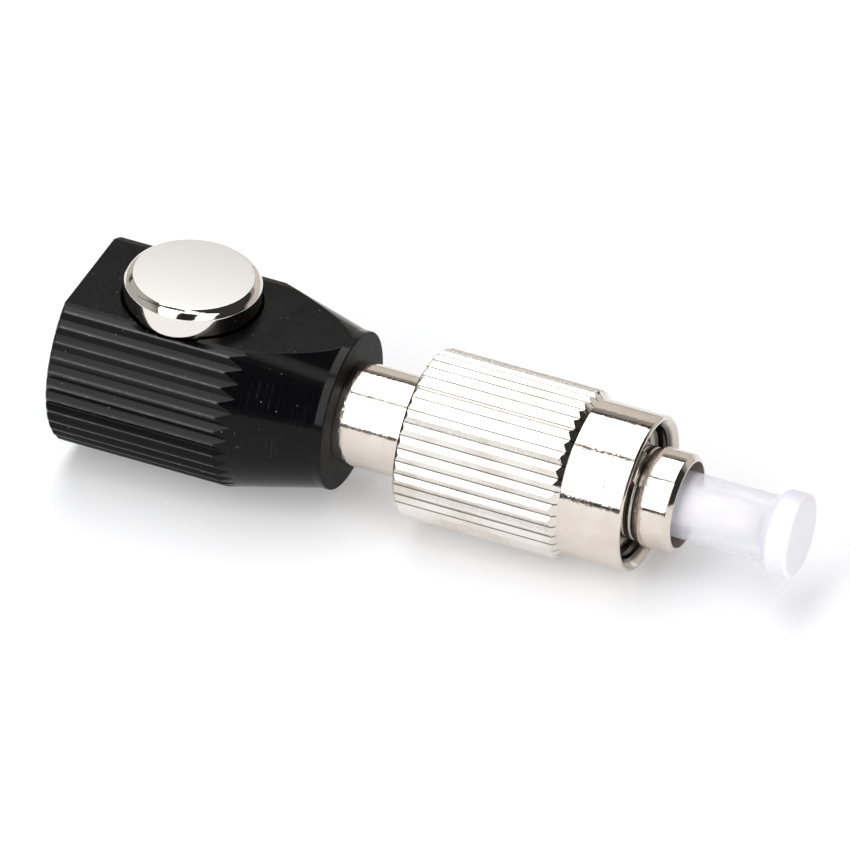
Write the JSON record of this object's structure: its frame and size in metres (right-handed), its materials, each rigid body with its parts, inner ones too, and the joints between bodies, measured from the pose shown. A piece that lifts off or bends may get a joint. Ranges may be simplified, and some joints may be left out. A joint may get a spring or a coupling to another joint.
{
  "type": "bare fibre adapter",
  "caption": "Serrated black clamp body with a sprung push button on a flat, carrying a round threaded fibre plug with a knurled coupling nut and a push-on dust cap.",
  "frame": {"origin": "centre of the fibre entry, on the axis at the body's rear face", "axes": "+X along the fibre from the rear face to the plug, +Z out of the button's top face"},
  "size_m": [0.0451, 0.0124, 0.0127],
  "materials": {
    "black_anodised": "black anodised, satin on the flat and glossy on the cone",
    "satin_aluminium": "plain aluminium, satin top and bright-cut bevel",
    "bright_nickel": "bright nickel plate on brass",
    "spring_steel": "plain drawn wire",
    "tube_steel": "drawn stainless tube",
    "white_ceramic": "polished white ceramic",
    "tube_plastic": "white slippery plastic",
    "cap_plastic": "translucent white moulded plastic"
  },
  "bodies": {
    "housing": {"body": "black_anodised", "rear_guide_tube": "tube_steel", "barrel": "bright_nickel", "plug_frame": "bright_nickel", "button_spring": "spring_steel", "ferrule_spring": "spring_steel"},
    "button": {"push_button": "satin_aluminium"},
    "nut": {"coupling_nut": "bright_nickel"},
    "ferrule_unit": {"ferrule": "white_ceramic", "ferrule_holder": "bright_nickel", "front_guide_tube": "tube_plastic"},
    "cap": {"dust_cap": "cap_plastic"}
  },
  "joints": [
    {"name": "button_press", "type": "slide", "parent": "housing", "child": "button", "axis": [0, 0, -1], "range_m": [0, 0.0012], "stiffness_N_per_m": 500, "springref_m": -0.005, "deforming": ["button_spring"]},
    {"name": "nut_spin", "type": "hinge", "parent": "housing", "child": "nut", "pos_m": [0.0285, 0, 0], "axis": [1, 0, 0], "continuous": true},
    {"name": "ferrule_float", "type": "slide", "parent": "housing", "child": "ferrule_unit", "axis": [-1, 0, 0], "range_m": [0, 0.001], "stiffness_N_per_m": 800, "springref_m": -0.005, "deforming": ["ferrule_spring"]},
    {"name": "cap_pull", "type": "slide", "parent": "ferrule_unit", "child": "cap", "axis": [1, 0, 0], "range_m": [0, 0.008]}
  ]
}
